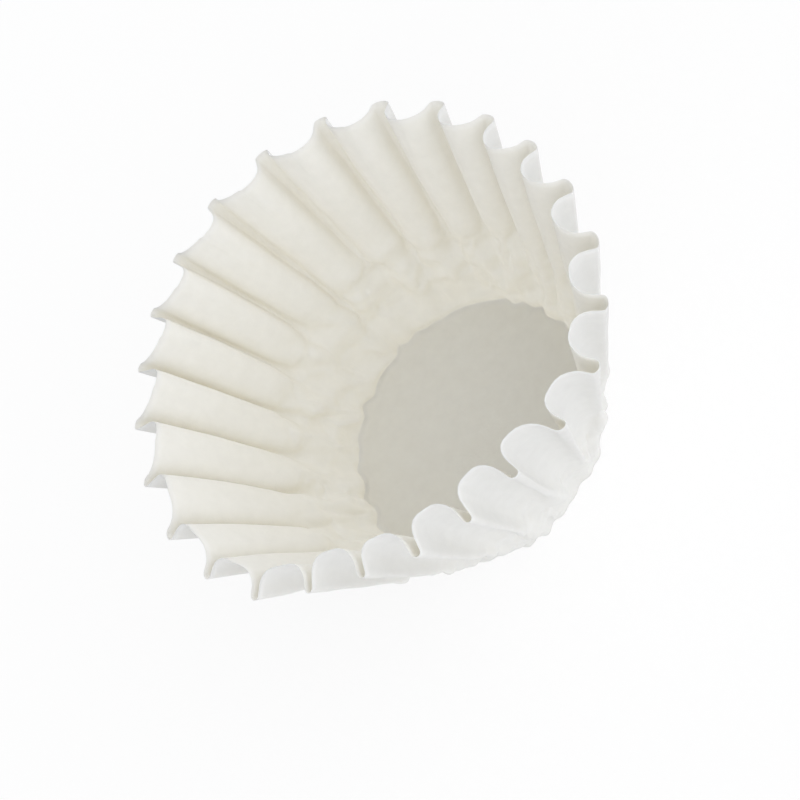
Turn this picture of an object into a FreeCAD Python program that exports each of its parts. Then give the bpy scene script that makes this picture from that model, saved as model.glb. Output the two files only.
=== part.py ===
"""Flat-bottomed basket coffee filter, formed from one round sheet of paper.

The middle of the sheet stays flat as the base. The ring round it is folded up
into a flared wall. The ring holds more paper than the mouth is round, so the wall
stands in flutes: broad lobes that bulge inwards, and narrow folded tips that point
outwards. The flutes start small at the base's edge and open out towards the rim.

Two sketches hold half a flute, one at the base and one on a level plane above the
rim: a flat, the lobe's bend, a straight flank and the tip's bend. Each stretch runs
the same way in both sketches, so straight lines drawn up from one to the other make
flat panels and bends that need no stretching. Each line up the wall ends where the
sheet does, so the rim dips at the tips and stands higher at the lobes.

The origin is the middle of the base's underside, with +Z up. Lengths are in
millimetres and angles in degrees.
"""

import FreeCAD
import Part
import Sketcher

import math
import os

NODE = "filter_paper"

# The sizes that can be set by themselves.
DRIVING_SIZES = {
    "sheet_diameter": 215.9,  # the flat disc of paper before it is formed
    "base_diameter": 76.2,  # the flat bottom, over the tips of its edge
    "paper_thickness": 0.15,
    "wall_lean": 25.2,  # of the fold tips, away from upright
    "flute_count": 25,
    "flank_angle": 8,  # between a flank and the middle plane of its lobe
    "tip_radius": 1.6,  # outside of a tip's bend at the wall's outline
    "lobe_flat": 1.0,  # width of the lobe's flat at the wall's outline
    "base_tip_radius": 0.5,  # the same bends where they start, at the base
    "base_lobe_radius": 1.2,
    "base_flank": 0.4,
}

# What follows from them, each after what it needs. The wall's outline is drawn at
# the height that the ring would reach if it stood upright, just above the rim. The
# lobe's radius there is the one that uses up the flute's paper.
WORKED_OUT = {
    "sheet_radius": "sizes.sheet_diameter / 2",
    "base_reach": "sizes.base_diameter / 2",
    "outline_height": "sheet_radius - base_reach",
    "wall_reach": "base_reach + outline_height * tan(sizes.wall_lean)",
    "half_pitch": "180 / sizes.flute_count",
    "lobe_turn": "90 - sizes.flank_angle",
    "tip_turn": "lobe_turn + half_pitch",
    "tip_paper": "sizes.tip_radius * tip_turn * pi / 180",
    "half_flute_paper": "(base_reach + outline_height / cos(sizes.wall_lean))"
    " * half_pitch * pi / 180",
    "lobe_and_flank_paper": "half_flute_paper - tip_paper - sizes.lobe_flat / 2",
    "lobe_and_flank_width": "(wall_reach - sizes.tip_radius) * sin(half_pitch)"
    " - sizes.tip_radius * cos(sizes.flank_angle) - sizes.lobe_flat / 2",
    "lobe_radius": "(lobe_and_flank_width - lobe_and_flank_paper * sin(sizes.flank_angle))"
    " / (cos(sizes.flank_angle) - lobe_turn * pi / 180 * sin(sizes.flank_angle))",
    "flank": "lobe_and_flank_paper - lobe_radius * lobe_turn * pi / 180",
}

# The sizes of half a flute in each sketch, as expressions.
WALL_OUTLINE = {
    "reach": "worked_out.wall_reach",
    "tip_radius": "sizes.tip_radius",
    "flank": "worked_out.flank",
    "lobe_radius": "worked_out.lobe_radius",
}
BASE_OUTLINE = {
    "reach": "worked_out.base_reach",
    "tip_radius": "sizes.base_tip_radius",
    "flank": "sizes.base_flank",
    "lobe_radius": "sizes.base_lobe_radius",
}

BEND_STEPS = 6  # flat facets to each bend of a half flute
START, END, CENTRE = 1, 2, 3  # the points of an edge, as Sketcher numbers them
X_AXIS = -1  # of a sketch; its start is the origin


def add_sizes(doc):
    """The driving sizes, one to a cell, each under its alias."""
    sizes = doc.addObject("Spreadsheet::Sheet", "sizes")
    for row, (alias, value) in enumerate(DRIVING_SIZES.items(), start=1):
        sizes.set(f"A{row}", alias)
        sizes.set(f"B{row}", str(value))
        sizes.setAlias(f"B{row}", alias)
    doc.recompute()
    return sizes


def add_worked_out(doc):
    """The sizes that follow, as properties bound to expressions."""
    worked_out = doc.addObject("App::VarSet", "worked_out")
    for name, expression in WORKED_OUT.items():
        worked_out.addProperty("App::PropertyFloat", name, "Sizes")
        worked_out.setExpression(name, expression)
    doc.recompute()
    return worked_out


def polar(centre, radius, angle):
    """The point of the sketch plane at an angle and a radius round a centre."""
    turned = math.radians(angle)
    return centre + FreeCAD.Vector(math.cos(turned), math.sin(turned), 0) * radius


def arc(centre, radius, start_angle, end_angle):
    """An anticlockwise arc in the sketch plane."""
    circle = Part.Circle(centre, FreeCAD.Vector(0, 0, 1), radius)
    return Part.ArcOfCircle(circle, math.radians(start_angle), math.radians(end_angle))


def add_outline(doc, name, expressions):
    """A sketch of half a flute: half the lobe's flat, its bend, a flank, half a tip.

    The lobe's middle lies on the X axis and the tip's middle at the half pitch."""
    sketch = doc.addObject("Sketcher::SketchObject", name)
    size = {key: sketch.evalExpression(text) for key, text in expressions.items()}
    half_pitch = sketch.evalExpression("worked_out.half_pitch")
    flank_angle = sketch.evalExpression("sizes.flank_angle")

    origin = FreeCAD.Vector()
    tip_centre = polar(origin, size["reach"] - size["tip_radius"], half_pitch)
    flank_outer = polar(tip_centre, size["tip_radius"], flank_angle - 90)
    flank_inner = polar(flank_outer, -size["flank"], flank_angle)
    lobe_centre = polar(flank_inner, size["lobe_radius"], flank_angle - 90)
    flat_end = polar(lobe_centre, size["lobe_radius"], 180)
    flat, lobe, flank, tip, spoke = sketch.addGeometry(
        [
            Part.LineSegment(FreeCAD.Vector(flat_end.x, 0, 0), flat_end),
            arc(lobe_centre, size["lobe_radius"], 90 + flank_angle, 180),
            Part.LineSegment(flank_inner, flank_outer),
            arc(tip_centre, size["tip_radius"], flank_angle - 90, half_pitch),
            Part.LineSegment(origin, polar(origin, size["reach"], half_pitch)),
        ]
    )
    sketch.setConstruction(spoke, True)

    for kind, *where in (
        ("PointOnObject", flat, START, X_AXIS),
        ("Vertical", flat),
        ("Tangent", flat, END, lobe, END),
        ("Tangent", lobe, START, flank, START),
        ("Tangent", flank, END, tip, START),
        ("Coincident", tip, END, spoke, END),
        ("Coincident", spoke, START, X_AXIS, START),
        ("PointOnObject", tip, CENTRE, spoke),
    ):
        sketch.addConstraint(Sketcher.Constraint(kind, *where))
    for label, expression, kind, *where in (
        ("reach", expressions["reach"], "Distance", spoke, size["reach"]),
        ("half_pitch", "worked_out.half_pitch", "Angle", spoke, math.radians(half_pitch)),
        ("tip_radius", expressions["tip_radius"], "Radius", tip, size["tip_radius"]),
        ("flank", expressions["flank"], "Distance", flank, size["flank"]),
        ("flank_angle", "sizes.flank_angle", "Angle", flank, math.radians(flank_angle)),
        ("lobe_radius", expressions["lobe_radius"], "Radius", lobe, size["lobe_radius"]),
    ):
        index = sketch.addConstraint(Sketcher.Constraint(kind, *where))
        sketch.renameConstraint(index, label)
        sketch.setExpression(f"Constraints.{label}", expression)
    return sketch


def half_ring(outline, inset):
    """Points of half a flute, from the end of the lobe's flat to the tip's middle.

    The inset moves the outline from the outside of the paper to its inside."""
    _, lobe, _, tip, _ = outline.Geometry
    points = []
    for bend, radius, from_angle, to_angle in (
        (lobe, lobe.Radius + inset, lobe.LastParameter, lobe.FirstParameter),
        (tip, tip.Radius - inset, tip.FirstParameter, tip.LastParameter),
    ):
        for step in range(BEND_STEPS + 1):
            angle = from_angle + (to_angle - from_angle) * step / BEND_STEPS
            points.append(polar(bend.Center, radius, math.degrees(angle)))
    return points


def ring(outline, height, inset, flute_count):
    """The outline carried all the way round, as points at a height."""
    half = half_ring(outline, inset)
    mirrored = [FreeCAD.Vector(point.x, -point.y, 0) for point in reversed(half)]
    flute = [*mirrored, *half[:-1]]  # the next flute starts at this one's tip
    points = []
    for turn in range(flute_count):
        rotation = FreeCAD.Rotation(FreeCAD.Vector(0, 0, 1), 360 * turn / flute_count)
        points.extend(rotation.multVec(point) + FreeCAD.Vector(0, 0, height) for point in flute)
    return points


def along(starts, ends, shares):
    """The points that lie the given shares of the way from each start to its end."""
    return [start + (end - start) * share for start, end, share in zip(starts, ends, shares)]


def band(lower, upper, split=False):
    """Flat faces between two rings, as triangles where the four corners aren't level."""
    faces = []
    for index in range(len(lower)):
        corners = [lower[index - 1], lower[index], upper[index], upper[index - 1]]
        pieces = [corners[:3], [corners[2], corners[3], corners[0]]] if split else [corners]
        faces.extend(Part.Face(Part.makePolygon([*piece, piece[0]])) for piece in pieces)
    return faces


def disc(points):
    """A level face inside a ring."""
    return Part.Face(Part.makePolygon([*points, points[0]]))


def fold_paper(sizes, worked_out, base_outline, wall_outline):
    """The paper as one solid: base, fluted wall and the sheet's edge at the rim."""
    count = int(sizes.flute_count)
    height = worked_out.outline_height
    inset = sizes.paper_thickness / math.cos(math.radians(sizes.wall_lean))
    outer_base = ring(base_outline, 0, 0, count)
    outer_wall = ring(wall_outline, height, 0, count)
    inner_base = ring(base_outline, 0, inset, count)
    inner_wall = ring(wall_outline, height, inset, count)
    # The paper left above the base's edge sets how far up each line the rim lies.
    rim_shares = [
        (worked_out.sheet_radius - start.Length) / start.distanceToPoint(end)
        for start, end in zip(outer_base, outer_wall)
    ]
    floor_shares = [sizes.paper_thickness / height] * len(inner_base)
    outer_rim = along(outer_base, outer_wall, rim_shares)
    inner_rim = along(inner_base, inner_wall, rim_shares)
    inner_foot = along(inner_base, inner_wall, floor_shares)
    faces = [
        disc(outer_base),
        disc(inner_foot),
        *band(outer_base, outer_rim),
        *band(inner_foot, inner_rim),
        *band(outer_rim, inner_rim, split=True),
    ]
    solid = Part.Solid(Part.Shell(faces))
    return solid if solid.Volume > 0 else solid.reversed()


def check(doc, filter_paper):
    """Stops where an object failed or the paper isn't one sound solid."""
    for item in doc.Objects:
        if "Invalid" in item.State or "Error" in item.State:
            raise RuntimeError(f"{item.Name} did not build: {item.State}")
    shape = filter_paper.Shape
    if shape.isNull() or not shape.isValid() or len(shape.Solids) != 1:
        raise RuntimeError(f"{filter_paper.Label} is not one sound solid")


def main():
    doc = FreeCAD.newDocument("coffee_filter")
    sizes = add_sizes(doc)
    worked_out = add_worked_out(doc)
    base_outline = add_outline(doc, "base_outline", BASE_OUTLINE)
    wall_outline = add_outline(doc, "wall_outline", WALL_OUTLINE)
    wall_outline.setExpression("Placement.Base.z", "worked_out.outline_height")
    doc.recompute()

    filter_paper = doc.addObject("Part::Feature", NODE)
    filter_paper.Label = NODE
    filter_paper.Shape = fold_paper(sizes, worked_out, base_outline, wall_outline)
    filter_paper.Placement = FreeCAD.Placement()
    doc.recompute()
    check(doc, filter_paper)
    os.makedirs("parts", exist_ok=True)
    filter_paper.Shape.exportStep(f"parts/{filter_paper.Label}.step")
    box = filter_paper.Shape.BoundBox
    print(f"{box.XLength:.1f} x {box.YLength:.1f} x {box.ZLength:.1f} mm")
    print(f"{len(filter_paper.Shape.Faces)} faces, {filter_paper.Shape.Volume:.0f} mm3")


main()
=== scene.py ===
"""The looks of a basket coffee filter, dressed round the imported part.

One sheet of paper stands for the part's node. It is modelled as its middle surface,
in rings: the flat base, then rows up the fluted wall to the rim. Each point of the wall
knows its place on the flat sheet, and the crumples and dents are laid out there, as they
lie on real paper. The surface then gets the paper's thickness.

Lengths in this file are in millimetres unless a name says otherwise, and angles are in
degrees. The frame is the part's own: the origin is the middle of the base's underside.
A share is a part of the way up the wall: 0 at the base and 1 at the rim.
"""

import math

import bpy
import numpy as np
from mathutils import Matrix, Vector

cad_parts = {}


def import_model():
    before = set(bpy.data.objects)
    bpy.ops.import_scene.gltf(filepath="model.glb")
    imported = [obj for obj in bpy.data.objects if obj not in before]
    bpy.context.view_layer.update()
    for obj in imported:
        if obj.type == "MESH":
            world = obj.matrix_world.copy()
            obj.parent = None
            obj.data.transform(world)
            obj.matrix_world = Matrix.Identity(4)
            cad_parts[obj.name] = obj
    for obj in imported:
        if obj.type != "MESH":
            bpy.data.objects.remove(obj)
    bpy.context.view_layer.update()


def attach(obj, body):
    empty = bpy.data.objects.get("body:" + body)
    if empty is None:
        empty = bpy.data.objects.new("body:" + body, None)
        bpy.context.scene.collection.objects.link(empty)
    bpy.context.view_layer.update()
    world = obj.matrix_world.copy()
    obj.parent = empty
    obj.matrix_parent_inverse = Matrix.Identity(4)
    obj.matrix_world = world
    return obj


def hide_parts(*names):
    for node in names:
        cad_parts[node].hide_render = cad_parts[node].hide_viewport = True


MM = 0.001  # metres
NODE = "filter_paper"
SEED = 7

# The sheet and the form that it is pressed to, as in the part. The wall's outline is
# drawn on a level just above the rim, as high as the flat ring round the base is wide.
SHEET_RADIUS = 107.95
BASE_REACH = 38.1
PAPER = 0.15
WALL_LEAN = 25.2
FLUTES = 25
HALF_PITCH = 180 / FLUTES
RING_WIDTH = SHEET_RADIUS - BASE_REACH
WALL_HEIGHT = RING_WIDTH
WALL_REACH = BASE_REACH + WALL_HEIGHT * math.tan(math.radians(WALL_LEAN))

# Half a flute: sizes at the wall's outline, and softer ones where it starts.
TIP_RADIUS, LOBE_FLAT, FLANK_ANGLE = 1.6, 1.0, 8.0
BASE_HALF_FLUTE = {
    "reach": BASE_REACH, "tip_radius": 0.7, "flank": 0.5, "lobe_radius": 4.5, "flank_angle": 45,
}
STEPS = {"flat": 1, "lobe": 5, "flank": 2, "tip": 4}  # of half a flute
HALF_STEPS = sum(STEPS.values())
COLUMNS = FLUTES * 2 * HALF_STEPS

# Rows up the wall, close where the paper is creased, and the rings of the base from its
# edge inwards, as parts of its reach.
CREASED_SHARE = 0.56
CREASED_ROWS, PLAIN_ROWS = 62, 14
BASE_RINGS = (0.95, 0.8, 0.6)


def blend(low, high, part):
    """low where part is 0, high where it is 1, and evenly between them."""
    return low + (high - low) * part


def smooth(low, high, value):
    """0 below low, 1 above high, and a soft rise between them."""
    part = np.clip((value - low) / (high - low), 0, 1)
    return part * part * (3 - 2 * part)


def between(rise, fall, value):
    """A soft rise from 0 to 1 over one range, and a soft fall back over another."""
    return smooth(*rise, value) * (1 - smooth(*fall, value))


def placed(radius, radians, height):
    """Points at a radius and an angle round the axis, and at a height."""
    return np.stack([radius * np.cos(radians), radius * np.sin(radians), height], axis=-1)


# ---------------------------------------------------------------- the pressed form


def turned(angle):
    """The unit vectors of angles, as points of a level plane."""
    radians = np.radians(angle)
    return np.stack([np.cos(radians), np.sin(radians)], -1)


def wall_half_flute():
    """The sizes of half a flute at the wall's outline, where it takes up the sheet."""
    lobe_turn = 90 - FLANK_ANGLE
    tip_paper = TIP_RADIUS * math.radians(lobe_turn + HALF_PITCH)
    slant_reach = BASE_REACH + WALL_HEIGHT / math.cos(math.radians(WALL_LEAN))
    paper = slant_reach * math.radians(HALF_PITCH) - tip_paper - LOBE_FLAT / 2
    lean_sin, lean_cos = math.sin(math.radians(FLANK_ANGLE)), math.cos(math.radians(FLANK_ANGLE))
    width = (WALL_REACH - TIP_RADIUS) * math.sin(math.radians(HALF_PITCH))
    width -= TIP_RADIUS * lean_cos + LOBE_FLAT / 2
    lobe_radius = (width - paper * lean_sin) / (lean_cos - math.radians(lobe_turn) * lean_sin)
    return {
        "reach": WALL_REACH,
        "tip_radius": TIP_RADIUS,
        "flank": paper - lobe_radius * math.radians(lobe_turn),
        "lobe_radius": lobe_radius,
        "flank_angle": FLANK_ANGLE,
    }


def half_flute(reach, tip_radius, flank, lobe_radius, flank_angle):
    """Points of half a flute on a level plane, from the lobe's middle to the tip's."""
    tip_centre = (reach - tip_radius) * turned(HALF_PITCH)
    flank_outer = tip_centre + tip_radius * turned(flank_angle - 90)
    flank_inner = flank_outer - flank * turned(flank_angle)
    lobe_centre = flank_inner + lobe_radius * turned(flank_angle - 90)
    flat_end = lobe_centre + lobe_radius * turned(180)
    middle = flat_end * [1, 0]
    lobe_angles = np.linspace(180, 90 + flank_angle, STEPS["lobe"] + 1)
    tip_angles = np.linspace(flank_angle - 90, HALF_PITCH, STEPS["tip"] + 1)
    stretches = [
        np.linspace(middle, flat_end, STEPS["flat"] + 1),
        lobe_centre + lobe_radius * turned(lobe_angles),
        np.linspace(flank_inner, flank_outer, STEPS["flank"] + 1),
        tip_centre + tip_radius * turned(tip_angles),
    ]
    return np.concatenate([stretch[:-1] for stretch in stretches] + [stretches[-1][-1:]])


def flute_ring(sizes):
    """Half a flute mirrored and carried all the way round, as COLUMNS points."""
    half = half_flute(**sizes)
    flute = np.concatenate([half[::-1] * [1, -1], half[1:-1]])
    ring = []
    for flute_index in range(FLUTES):
        along, across = turned(360 * flute_index / FLUTES), turned(360 * flute_index / FLUTES + 90)
        ring.append(flute[:, :1] * along + flute[:, 1:] * across)
    return np.concatenate(ring)


def wall_columns():
    """The foot and head of each column of the wall, and which part of its length is paper."""
    foot = np.column_stack([flute_ring(BASE_HALF_FLUTE), np.zeros(COLUMNS)])
    head = np.column_stack([flute_ring(wall_half_flute()), np.full(COLUMNS, WALL_HEIGHT)])
    paper_left = SHEET_RADIUS - np.linalg.norm(foot, axis=1)
    return foot, head, paper_left / np.linalg.norm(head - foot, axis=1)


def wall_rows():
    """The share of each row of the wall."""
    creased_rows = np.linspace(0, CREASED_SHARE, CREASED_ROWS + 1)
    plain_rows = np.linspace(CREASED_SHARE, 1, PLAIN_ROWS + 1)
    return np.concatenate([creased_rows, plain_rows[1:]])


# ---------------------------------------------------------------- grids and noise


# Where each column lies in its flute: -1 and 1 at the tips' middles, 0 at the lobe's.
ACROSS = (np.arange(COLUMNS) % (2 * HALF_STEPS)) / HALF_STEPS - 1
COLUMN_LOBE = np.arange(COLUMNS) // (2 * HALF_STEPS)
COLUMN_TIP = (np.arange(COLUMNS) + HALF_STEPS) // (2 * HALF_STEPS) % FLUTES  # the nearest tip
LOBE_BLEND = 0.45  # how far from a lobe's middle its two tips' random values blend

LATTICE_SIZE = 64  # corners each way, before the heights come again
LATTICE_SKEW, LATTICE_STRETCH = 0.577, 1.155  # these make its cells rhombi, with 60 degrees
WANDER_CELL, WANDER = 2.2, 0.6  # of a crumple's lattice, in its cells

TENT_TURN = 50  # most, from the way round the sheet
TENT_TAPER = 1.5  # how soon a tent falls off at its ends
TENT_LIMIT = 0.75  # height where tents lie on each other


def by_tip(rng, low, high):
    """A random value for each tip, which changes softly over each lobe's middle."""
    values = rng.uniform(low, high, FLUTES)
    before, after = values[COLUMN_LOBE], values[(COLUMN_LOBE + 1) % FLUTES]
    return blend(before, after, smooth(-LOBE_BLEND, LOBE_BLEND, ACROSS))


def lattice(rng, points, cell, soft):
    """Heights from -1 to 1 on a lattice of rhombi: soft hills, or two flat facets to a cell."""
    heights = rng.uniform(-1, 1, (LATTICE_SIZE, LATTICE_SIZE))
    across, along = points[..., 0] / cell, points[..., 1] / cell
    skewed = np.stack([across + along * LATTICE_SKEW, along * LATTICE_STRETCH])
    corner = np.floor(skewed).astype(int)
    right, up = skewed - corner

    def at(column, row):
        return heights[(corner[0] + column) % LATTICE_SIZE, (corner[1] + row) % LATTICE_SIZE]

    def facet(here, beside, above, right, up):
        return here + (beside - here) * right + (above - here) * up

    if soft:
        right, up = smooth(0, 1, right), smooth(0, 1, up)
        return blend(blend(at(0, 0), at(1, 0), right), blend(at(0, 1), at(1, 1), right), up)
    near = facet(at(0, 0), at(1, 0), at(0, 1), right, up)
    far = facet(at(1, 1), at(0, 1), at(1, 0), 1 - right, 1 - up)
    return np.where(right + up < 1, near, far)


def crumple(rng, points, cell):
    """Flat facets with sharp creases between them, on a lattice that wanders."""
    wander = [lattice(rng, points, WANDER_CELL * cell, soft=True) for _ in range(2)]
    return lattice(rng, points + WANDER * cell * np.stack(wander, axis=-1), cell, soft=False)


def tents(rng, points, count, reach, length, width, height):
    """Short straight creases or dents: low tents at random places of the flat sheet."""
    total = np.zeros(points.shape[:-1])
    for _ in range(count):
        way, turn = rng.uniform(0, 360), rng.uniform(-TENT_TURN, TENT_TURN)
        centre = rng.uniform(*reach) * turned(way)
        along = turned(way + 90 + turn)
        half_length, half_width = rng.uniform(*length) / 2, rng.uniform(*width)
        rise = rng.uniform(*height) * rng.choice([-1, 1])
        offset = points - centre
        lengthwise = np.abs(offset @ along) / half_length
        sideways = np.abs(offset @ np.array([-along[1], along[0]])) / half_width
        ends = np.clip(TENT_TAPER - TENT_TAPER * lengthwise, 0, 1)
        total += rise * np.clip(1 - sideways, 0, 1) * ends
    return np.clip(total, -TENT_LIMIT, TENT_LIMIT)


def eased(field):
    """A field on the wall's grid, averaged with its neighbours, so that creases are round."""
    field = (np.roll(field, 1, axis=1) + 2 * field + np.roll(field, -1, axis=1)) / 4
    padded = np.concatenate([field[:1], field, field[-1:]])
    return (padded[:-2] + 2 * field + padded[2:]) / 4


def outward(surface):
    """The unit normals of the wall's grid, pointing out of the filter."""
    around = np.roll(surface, -1, axis=1) - np.roll(surface, 1, axis=1)
    upward = np.gradient(surface, axis=0)
    normals = np.cross(around, upward)
    return normals / np.linalg.norm(normals, axis=2, keepdims=True)


# ---------------------------------------------------------------- folds and creases


# Low down the folds die out: each fades over a stretch and has a short step in it,
# where the sheet was pinched, and goes on to the base as a shallow crease.
FOLD_END = (0.22, 0.40)  # shares
FOLD_FADE, PINCH_FADE, PINCH_PART = 0.30, 0.035, 0.4
CREASE_DEPTH_AT_BASE, CREASE_DEPTH, CREASE_DEPTH_FROM = (-1.4, 2.2), (1.0, 2.6), 0.25
CREASE_SHARPNESS = (1.5, 2.8)
CREASE_LEVEL = 0.35  # the part of a crease's depth that lies within its middle radius
CREASE_WANDER, WANDER_AT_BASE, WANDER_FROM = 1.5, 0.3, 0.15
LOBE_WANDER = 1.2
# The wall bulges inwards just over the base. A zone is a rise and a fall, in shares.
SPRING_BACK, SPRING_BACK_ZONE = 0.7, ((0, 0.035), (0.06, 0.2))
# Most folds run on to the base as a thin ridge, which leans a few degrees on its way.
RIDGED, RIDGE_HEIGHT, RIDGE_HALF_WIDTH, RIDGE_LEAN = 0.7, (0.35, 0.75), 1.5, 3.5
RIDGE_RISE, RIDGE_FALL = 0.1, 0.12  # shares, at the base and at the fold's end

# The crumples of the low wall, big ones and small, each with its cell and height. Short
# creases lie among them, the rim has a few dents, and the whole wall swells softly.
CRUMPLES, CRUMPLED_ZONE = ((8.0, 1.15), (4.0, 0.65)), ((0, 0.05), (0.32, 0.52))
SHORT_CREASES_ZONE = ((0, 0.05), (0.34, 0.46))
SHORT_CREASES = {
    "count": 240,
    "reach": (BASE_REACH + 2, BASE_REACH + 0.55 * RING_WIDTH),
    "length": (3, 10),
    "width": (1.0, 1.8),
    "height": (0.4, 0.8),
}
RIM_DENTS = {
    "count": 24,
    "reach": (SHEET_RADIUS - 10, SHEET_RADIUS),
    "length": (3, 9),
    "width": (1.0, 2.0),
    "height": (0.1, 0.3),
}
SWELL_CELL, SWELL_HEIGHT, SWELL_FROM = 9.0, 0.2, 0.1


def ridges(rng, share, ends, radius):
    """How far in the thin ridges stand, from the folds' ends down to the base."""
    height = rng.uniform(*RIDGE_HEIGHT, FLUTES) * (rng.uniform(0, 1, FLUTES) < RIDGED)
    lean = rng.uniform(-RIDGE_LEAN, RIDGE_LEAN, FLUTES)[COLUMN_TIP] * (1 - share / ends)
    from_ridge = np.abs((ACROSS - np.where(ACROSS < 0, -1, 1)) * HALF_PITCH - lean)
    ridge = np.clip(1 - np.radians(from_ridge) * radius / RIDGE_HALF_WIDTH, 0, 1)
    ridge = ridge * smooth(0, RIDGE_RISE, share) * (1 - smooth(ends - RIDGE_FALL, ends, share))
    return height[COLUMN_TIP] * eased(eased(ridge))


def creased(rng, wall, share):
    """The wall with its folds died out low down, and shallow creases in their place."""
    ends = by_tip(rng, *FOLD_END)
    fade = 1 - smooth(ends - FOLD_FADE / 2, ends + FOLD_FADE / 2, share)
    pinch = 1 - smooth(ends - PINCH_FADE / 2, ends + PINCH_FADE / 2, share)

    radius = np.hypot(wall[..., 0], wall[..., 1])
    middle_radius = (radius[:, :1] + radius[:, HALF_STEPS : HALF_STEPS + 1]) / 2
    depth_up, depth_at_base = by_tip(rng, *CREASE_DEPTH), by_tip(rng, *CREASE_DEPTH_AT_BASE)
    depth = blend(depth_at_base, depth_up, smooth(0, CREASE_DEPTH_FROM, share))
    wave = (0.5 - 0.5 * np.cos(np.pi * ACROSS)) ** by_tip(rng, *CREASE_SHARPNESS)
    lobe_in = rng.uniform(-LOBE_WANDER, LOBE_WANDER, FLUTES)[COLUMN_LOBE]
    lobe_in = lobe_in * np.cos(np.pi * ACROSS / 2) ** 2
    soft_radius = middle_radius + depth * (wave - CREASE_LEVEL) - lobe_in
    soft_radius -= SPRING_BACK * between(*SPRING_BACK_ZONE, share)
    soft_radius -= ridges(rng, share, ends, soft_radius)

    wander = by_tip(rng, -CREASE_WANDER, CREASE_WANDER) * wave
    wander = wander * blend(WANDER_AT_BASE, 1, smooth(0, WANDER_FROM, share))
    angle = (COLUMN_LOBE + ACROSS / 2) * 2 * HALF_PITCH + wander
    soft = placed(soft_radius, np.radians(angle), wall[..., 2])
    return blend(wall, soft, blend(fade, pinch, PINCH_PART)[..., None])


def crumpled(rng, on_sheet, share):
    """How far outwards crumples, short creases, dents and a soft swell push the paper."""
    push = sum(height * crumple(rng, on_sheet, cell) for cell, height in CRUMPLES)
    push = push * between(*CRUMPLED_ZONE, share)
    push += tents(rng, on_sheet, **SHORT_CREASES) * between(*SHORT_CREASES_ZONE, share)
    push += tents(rng, on_sheet, **RIM_DENTS)
    swell = SWELL_HEIGHT * lattice(rng, on_sheet, SWELL_CELL, soft=True)
    return eased(push + swell * smooth(0, SWELL_FROM, share))


# ---------------------------------------------------------------- the mouth out of true


# Degrees of turn and millimetres of reach at the rim, each with how many times it goes
# round the filter and where it is largest.
DRIFT_WAVES = ((0.33, 1, 115), (0.61, 2, -78), (0.56, 3, -31), (0.72, 4, -5))
REACH_WAVES = ((0.4, 2, 77), (0.9, 3, 58))

# The folds have sprung open on one side and are pinched on the other. These are what
# their widths gain, as parts of the pressed width, first where they are narrowest and
# then where they are widest: below the rim, and at it. The first rise is from the base,
# and the second from below the rim to it. WIDTH_SPREAD is how much the folds differ.
WIDEST_AT, WIDEST_SHARPNESS = -5, 4
WIDENED, WIDENED_AT_RIM, WIDTH_SPREAD = (-0.42, 0.35), (-0.2, 0.6), 0.08
WIDENED_RISE, WIDENED_RIM_RISE = (0.15, 0.5), (0.7, 1.05)
LOBE_SPARED = (0, 0.5)  # across a flute: the lobe's middle stays where it is

# Where the mouth has spread and turned, and where it is pressed in, because the filter
# leant on something there.
SPREAD_AT, SPREAD_FADE, SPREAD_OUT, SPREAD_TURN = -18, (20, 60), 1.1, -1.2
PRESSED_AT, PRESSED_FADE, PRESSED_IN, PRESSED_UP, PRESSED_POWER = -118, (20, 56), 7.0, 1.6, 1.5

# The lobes: how far in or out, over which part of a lobe, and over which rise of the wall.
# They differ a little, and their shoulders are flatter on the narrow side.
LOBE_SPREAD, LOBE_FALL, LOBE_RISE = 0.35, (0.4, 0.75), (0.3, 1.0)
SHOULDERS_IN, SHOULDER, SHOULDER_RISE = (0.5, 0.2), ((0.05, 0.3), (0.42, 0.7)), (0.3, 0.8)
# On one side they lean near the rim: they belly in beside one of their folds and roll
# softly into the next.
LEANING_AT, LEANING_FADE = 100, (35, 75)
BELLY_IN, BELLY, BELLY_RISE = 2.0, ((-0.75, -0.35), (-0.35, 0.6)), (0.3, 1.0)
ROLL_OUT, ROLL, ROLL_RISE = 0.9, ((0, 0.35), (0.4, 0.75)), (0.25, 0.6)


def waves(angle, terms):
    """The sum of waves round the filter."""
    return sum(
        amount * np.cos(np.radians(count * (angle - peak))) for amount, count, peak in terms
    )


def turn_from(middle, angle):
    """The way round from middle to angle, from -180 to 180."""
    return (angle - middle + 180) % 360 - 180


def side(angle, middle, fade):
    """1 on the side of the filter round middle, dying out over fade degrees from there."""
    return 1 - smooth(*fade, np.abs(turn_from(middle, angle)))


def widened(rng, angle, share, tip_at, openness):
    """The angle of each point once the folds have sprung open or are pinched."""
    below, at_rim = (blend(*ends, openness) for ends in (WIDENED, WIDENED_AT_RIM))
    gain = blend(below, at_rim, smooth(*WIDENED_RIM_RISE, share))
    gain = gain + by_tip(rng, -WIDTH_SPREAD, WIDTH_SPREAD)
    gain = gain * smooth(*LOBE_SPARED, np.abs(ACROSS)) * smooth(*WIDENED_RISE, share)
    return angle + turn_from(tip_at, angle) * gain


def lobes_in(rng, angle, share, openness):
    """How far inwards the lobes have moved from their pressed form."""
    from_lobe = np.abs(ACROSS)
    own = rng.uniform(-LOBE_SPREAD, LOBE_SPREAD, FLUTES)[COLUMN_LOBE]
    own = own * (1 - smooth(*LOBE_FALL, from_lobe)) * smooth(*LOBE_RISE, share)
    shoulder = between(*SHOULDER, from_lobe) * smooth(*SHOULDER_RISE, share)
    belly = BELLY_IN * between(*BELLY, ACROSS) * smooth(*BELLY_RISE, share)
    roll = ROLL_OUT * between(*ROLL, ACROSS) * smooth(*ROLL_RISE, share)
    leaning = (belly - roll) * side(angle, LEANING_AT, LEANING_FADE)
    return own + shoulder * blend(*SHOULDERS_IN, openness) + leaning


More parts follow.
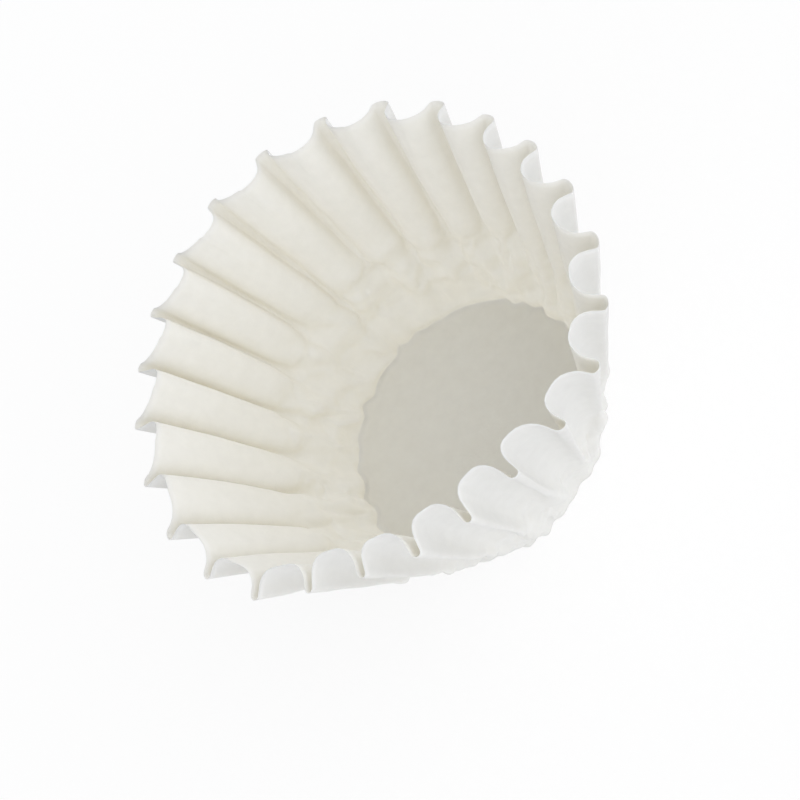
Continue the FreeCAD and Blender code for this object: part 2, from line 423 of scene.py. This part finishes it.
def untrue(rng, wall, share):
    """The wall with its mouth gone out of true, more so towards the rim."""
    tip_at = (2 * COLUMN_TIP - 1) * HALF_PITCH
    openness = np.cos(np.radians(tip_at - WIDEST_AT) / 2) ** WIDEST_SHARPNESS
    angle = np.degrees(np.arctan2(wall[..., 1], wall[..., 0]))
    angle = widened(rng, angle, share, tip_at, openness)
    lobe_in = lobes_in(rng, angle, share, openness)

    spread = side(angle, SPREAD_AT, SPREAD_FADE)
    pressed = side(angle, PRESSED_AT, PRESSED_FADE) * share**PRESSED_POWER
    radius = np.hypot(wall[..., 0], wall[..., 1])
    radius = radius + share * (waves(angle, REACH_WAVES) + SPREAD_OUT * spread)
    radius = radius - lobe_in - PRESSED_IN * pressed
    angle = angle + share * (waves(angle, DRIFT_WAVES) + SPREAD_TURN * spread)
    return placed(radius, np.radians(angle), wall[..., 2] + PRESSED_UP * pressed)


def uneven_wall():
    """The wall's middle surface, with its folds, creases and unevenness."""
    rng = np.random.default_rng(SEED)
    foot, head, paper_part = wall_columns()
    share = wall_rows()[:, None]
    wall = foot + (head - foot) * (share * paper_part)[:, :, None]
    wall[..., 2] += PAPER / 2
    wall = creased(rng, wall, share)

    angle = np.arctan2(foot[:, 1], foot[:, 0])
    reach = BASE_REACH + RING_WIDTH * share
    on_sheet = np.stack([reach * np.cos(angle), reach * np.sin(angle)], axis=-1)
    wall += outward(wall) * crumpled(rng, on_sheet, share)[:, :, None]
    return untrue(rng, wall, share)


# ---------------------------------------------------------------- the mesh


# How much painted warm bounce light the inner side gets, from 0 outside, which has painted
# shade, to 1 on the base: at the wall's foot, and what it loses over each rise of the wall.
PAINTED_BOUNCE_AT_FOOT, PAINTED_BOUNCE_LOSS, PAINTED_BOUNCE_RISES = 0.8, 0.1, ((0.15, 0.6), (0.7, 1.0))


def base_rings(edge):
    """Rings from the base's edge inwards, each with half the points of the one before."""
    rings = []
    for index, keep in enumerate(BASE_RINGS):
        ring = edge[:: 2 ** (index + 1)] * [keep, keep, 0]
        rings.append(ring + [0, 0, PAPER / 2])
    return rings


def skin(rows, rings, flip):
    """Vertices and faces of one side of the paper."""
    points = np.concatenate([rows.reshape(-1, 3)] + rings)
    faces = []
    row_count, columns = rows.shape[:2]
    for low in range(0, (row_count - 1) * columns, columns):
        high = low + columns
        for column in range(columns):
            after = (column + 1) % columns
            faces.append((low + column, low + after, high + after, high + column))
    outer_start, outer_count = 0, columns
    start = row_count * columns
    for ring in rings:
        count = len(ring)
        for index in range(count):
            outer = outer_start + 2 * index
            outer_after = outer_start + (2 * index + 2) % outer_count
            after = start + (index + 1) % count
            faces.append((start + index, after, outer_after, outer + 1, outer))
        outer_start, outer_count = start, count
        start += count
    faces.append(tuple(reversed(range(outer_start, outer_start + outer_count))))
    if flip:
        faces = [face[::-1] for face in faces]
    return points, faces


def paper_mesh():
    """Both sides of the paper and its cut edge, with each point's share of painted light: painted
    shade outside, painted warm bounce light inside.
    """
    wall = uneven_wall()
    normals = eased(outward(wall))
    normals[0] = normals[0] + [0, 0, -1]
    normals /= np.linalg.norm(normals, axis=2, keepdims=True)
    rings = base_rings(wall[0])
    half = PAPER / 2
    outer_rings = [ring - [0, 0, half] for ring in rings]
    inner_rings = [ring + [0, 0, half] for ring in rings]
    outer_points, outer_faces = skin(wall + normals * half, outer_rings, flip=False)
    inner_points, inner_faces = skin(wall - normals * half, inner_rings, flip=True)
    shift = len(outer_points)
    faces = outer_faces + [tuple(index + shift for index in face) for face in inner_faces]
    last = (wall.shape[0] - 1) * COLUMNS
    for column in range(COLUMNS):
        after = (column + 1) % COLUMNS
        faces.append((last + column, last + after, last + after + shift, last + column + shift))
    mesh = bpy.data.meshes.new("coffee_filter")
    mesh.from_pydata((np.concatenate([outer_points, inner_points]) * MM).tolist(), [], faces)
    mesh.polygons.foreach_set("use_smooth", [True] * len(mesh.polygons))

    share = wall_rows()
    # Painted light: each point's share, from painted shade outside to painted warm bounce light
    # deep inside.
    depth = PAINTED_BOUNCE_AT_FOOT - sum(PAINTED_BOUNCE_LOSS * smooth(*rise, share) for rise in PAINTED_BOUNCE_RISES)
    painted_light = np.ones(2 * shift)
    painted_light[:shift] = 0
    painted_light[shift : shift + wall.shape[0] * COLUMNS] = np.repeat(depth, COLUMNS)
    mesh.attributes.new("painted_light", "FLOAT", "POINT").data.foreach_set("value", painted_light)
    return mesh


# ---------------------------------------------------------------- shader nodes


def set_inputs(node, values):
    """Sets a node's inputs, each by its name or number."""
    for name, value in values.items():
        node.inputs[name].default_value = value


def add_node(tree, kind, values):
    """A new shader node with its inputs set."""
    node = tree.nodes.new("ShaderNode" + kind)
    set_inputs(node, values)
    return node


def show(tree, output, lit, seen, seen_part):
    """Puts a shader out: lit for the light, with a part of seen mixed in for the camera."""
    path = add_node(tree, "LightPath", {})
    part = add_node(tree, "Math", {1: seen_part})
    part.operation = "MULTIPLY"
    mix = add_node(tree, "MixShader", {})
    tree.links.new(path.outputs["Is Camera Ray"], part.inputs[0])
    tree.links.new(part.outputs["Value"], mix.inputs["Fac"])
    tree.links.new(lit.outputs[0], mix.inputs[1])
    tree.links.new(seen.outputs[0], mix.inputs[2])
    tree.links.new(mix.outputs["Shader"], tree.nodes[output].inputs["Surface"])


# ---------------------------------------------------------------- material


# Bleached paper, with painted light. Deep inside, the light has bounced from wall to wall and
# through them, and each time the paper keeps a little of its blue: this warm bounce light is
# painted into the inner side's colour, which is lighter too. The outer side is a shade darker,
# which is painted shade.
PAPER_COLOR_WITH_PAINTED_SHADE = (0.83, 0.83, 0.814, 1)
PAPER_COLOR_WITH_PAINTED_BOUNCE = (0.926, 0.898, 0.81, 1)
PAPER_SURFACE = {
    "Roughness": 0.9,
    "Specular IOR Level": 0.2,
    "Subsurface Weight": 1.0,
    "Subsurface Radius": (1.0, 1.0, 1.0),
    "Subsurface Scale": 0.4 * MM,
}
# Formation: the fibres lie a little thicker here and there. Noise scales are per metre.
MOTTLE_NOISE = {"Scale": 260, "Detail": 4, "Roughness": 0.6}
MOTTLE_STRENGTH = 0.02
MOTTLE_RANGE = {
    "From Min": 0.3,
    "From Max": 0.7,
    "To Min": 1 - MOTTLE_STRENGTH,
    "To Max": 1 + MOTTLE_STRENGTH,
}
GRAIN_NOISE = {"Scale": 900, "Detail": 5, "Roughness": 0.65}
GRAIN_BUMP = {"Strength": 0.35, "Distance": 0.2 * MM}


def paper_material():
    """Thin fibrous paper that lets some light through."""
    material = bpy.data.materials.new("filter_paper")
    material.use_nodes = True
    tree = material.node_tree
    link = tree.links.new
    shader = tree.nodes["Principled BSDF"]
    set_inputs(shader, PAPER_SURFACE)
    place = add_node(tree, "TexCoord", {}).outputs["Object"]

    def noise(values):
        texture = add_node(tree, "TexNoise", values)
        link(place, texture.inputs["Vector"])
        return texture.outputs["Fac"]

    # Painted light: the paper's colour is darkened by painted shade outside, and made lighter and
    # warmer by painted bounce light inside, blended by each point's share.
    painted_light = add_node(tree, "Attribute", {})
    painted_light.attribute_name = "painted_light"
    color = add_node(tree, "Mix", {})
    color.data_type = "RGBA"
    set_inputs(color, {"A": PAPER_COLOR_WITH_PAINTED_SHADE, "B": PAPER_COLOR_WITH_PAINTED_BOUNCE})
    link(painted_light.outputs["Fac"], color.inputs["Factor"])

    mottle = add_node(tree, "MapRange", MOTTLE_RANGE)
    mottled = add_node(tree, "VectorMath", {})
    mottled.operation = "SCALE"
    link(noise(MOTTLE_NOISE), mottle.inputs["Value"])
    link(color.outputs["Result"], mottled.inputs[0])
    link(mottle.outputs["Result"], mottled.inputs["Scale"])
    link(mottled.outputs["Vector"], shader.inputs["Base Color"])

    bump = add_node(tree, "Bump", GRAIN_BUMP)
    link(noise(GRAIN_NOISE), bump.inputs["Height"])
    link(bump.outputs["Normal"], shader.inputs["Normal"])
    return material


# ---------------------------------------------------------------- view, light and floor


# The view of the photograph, towards the middle of the mouth, which stands a little off
# the picture's middle.
VIEW_ELEVATION = 53.6
VIEW_TURN = 1.1
VIEW_ROLL = -57.0
VIEW_DISTANCE = 747.0
LENS_MM = 135.0
SENSOR_MM = 36.0
MOUTH_HEIGHT = 63.2
FRAME_LEFT, FRAME_UP = 10.5, 12.2

# Soft light from all round, more from one side: across, upwards and towards the camera,
# as it sees the filter. The camera itself sees a white sky.
BRIGHT_SIDE = (0.77, 0.0, 0.64)
SKY_LEVELS = {"From Min": -1, "From Max": 1, "To Min": 0.29, "To Max": 1.36}
SKY_COLOR = (0.985, 0.99, 1.0, 1)
SEEN_SKY = {"Color": (1, 1, 1, 1), "Strength": 1.0}
FOLD_BOUNCES, MAX_BOUNCES = 16, 24  # so that light gets out of the folds

# A white floor, which glows to the camera so that only a faint shadow is left on it.
FLOOR_REACH, FLOOR_DROP = 3000.0, 0.1
FLOOR_SURFACE = {"Base Color": (0.9, 0.9, 0.9, 1), "Roughness": 1.0, "Specular IOR Level": 0.0}
FLOOR_GLOW, FLOOR_GLOW_PART = {"Strength": 1.05}, 0.78


def view_axes():
    """The camera's right, up and back, as unit vectors."""
    elevation, turn, roll = (math.radians(a) for a in (VIEW_ELEVATION, VIEW_TURN, VIEW_ROLL))
    level_right = Vector((math.cos(turn), math.sin(turn), 0))
    level_ahead = Vector((-math.sin(turn), math.cos(turn), 0))
    ahead = level_ahead * math.cos(elevation) - Vector((0, 0, math.sin(elevation)))
    level_up = level_right.cross(ahead)
    right = level_right * math.cos(roll) + level_up * math.sin(roll)
    up = level_up * math.cos(roll) - level_right * math.sin(roll)
    return right, up, -ahead


def add_camera():
    """The scene's camera, at the photograph's view."""
    right, up, back = view_axes()
    mouth = Vector((0, 0, MOUTH_HEIGHT))
    place = mouth + right * FRAME_LEFT - up * FRAME_UP + back * VIEW_DISTANCE
    camera = bpy.data.cameras.new("camera")
    camera.lens = LENS_MM
    camera.sensor_width = SENSOR_MM
    holder = bpy.data.objects.new("camera", camera)
    turn = Matrix((right, up, back)).transposed().to_4x4()
    holder.matrix_world = Matrix.Translation(place * MM) @ turn
    bpy.context.scene.collection.objects.link(holder)
    bpy.context.scene.camera = holder


def add_world():
    """The sky, which is the only light."""
    world = bpy.data.worlds.new("studio")
    world.use_nodes = True
    bpy.context.scene.world = world
    tree = world.node_tree
    right, up, back = view_axes()
    across, upwards, towards = BRIGHT_SIDE
    direction = add_node(tree, "TexCoord", {})
    nearness = add_node(tree, "VectorMath", {1: right * across + up * upwards + back * towards})
    nearness.operation = "DOT_PRODUCT"
    strength = add_node(tree, "MapRange", SKY_LEVELS)
    light = tree.nodes["Background"]
    set_inputs(light, {"Color": SKY_COLOR})
    tree.links.new(direction.outputs["Generated"], nearness.inputs[0])
    tree.links.new(nearness.outputs["Value"], strength.inputs["Value"])
    tree.links.new(strength.outputs["Result"], light.inputs["Strength"])
    seen = add_node(tree, "Background", SEEN_SKY)
    show(tree, "World Output", light, seen, 1)


def add_floor():
    """The floor, which is staged and no part of the filter."""
    reach = FLOOR_REACH * MM
    corners = [(-reach, -reach, 0), (reach, -reach, 0), (reach, reach, 0), (-reach, reach, 0)]
    mesh = bpy.data.meshes.new("floor")
    mesh.from_pydata(corners, [], [(0, 1, 2, 3)])
    floor = bpy.data.objects.new("floor", mesh)
    floor.location.z = -FLOOR_DROP * MM
    bpy.context.scene.collection.objects.link(floor)
    material = bpy.data.materials.new("floor")
    material.use_nodes = True
    tree = material.node_tree
    shader = tree.nodes["Principled BSDF"]
    set_inputs(shader, FLOOR_SURFACE)
    glow = add_node(tree, "Emission", FLOOR_GLOW)
    show(tree, "Material Output", shader, glow, FLOOR_GLOW_PART)
    floor.data.materials.append(material)


def main():
    """Loads the part, dresses it, and sets the view, the light and the floor."""
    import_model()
    scene = bpy.context.scene
    scene.view_settings.view_transform = "Standard"
    scene.cycles.diffuse_bounces, scene.cycles.max_bounces = FOLD_BOUNCES, MAX_BOUNCES

    paper = bpy.data.objects.new("coffee_filter_paper", paper_mesh())
    scene.collection.objects.link(paper)
    paper.data.materials.append(paper_material())
    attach(paper, "root")
    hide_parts(NODE)

    add_camera()
    add_world()
    add_floor()


main()
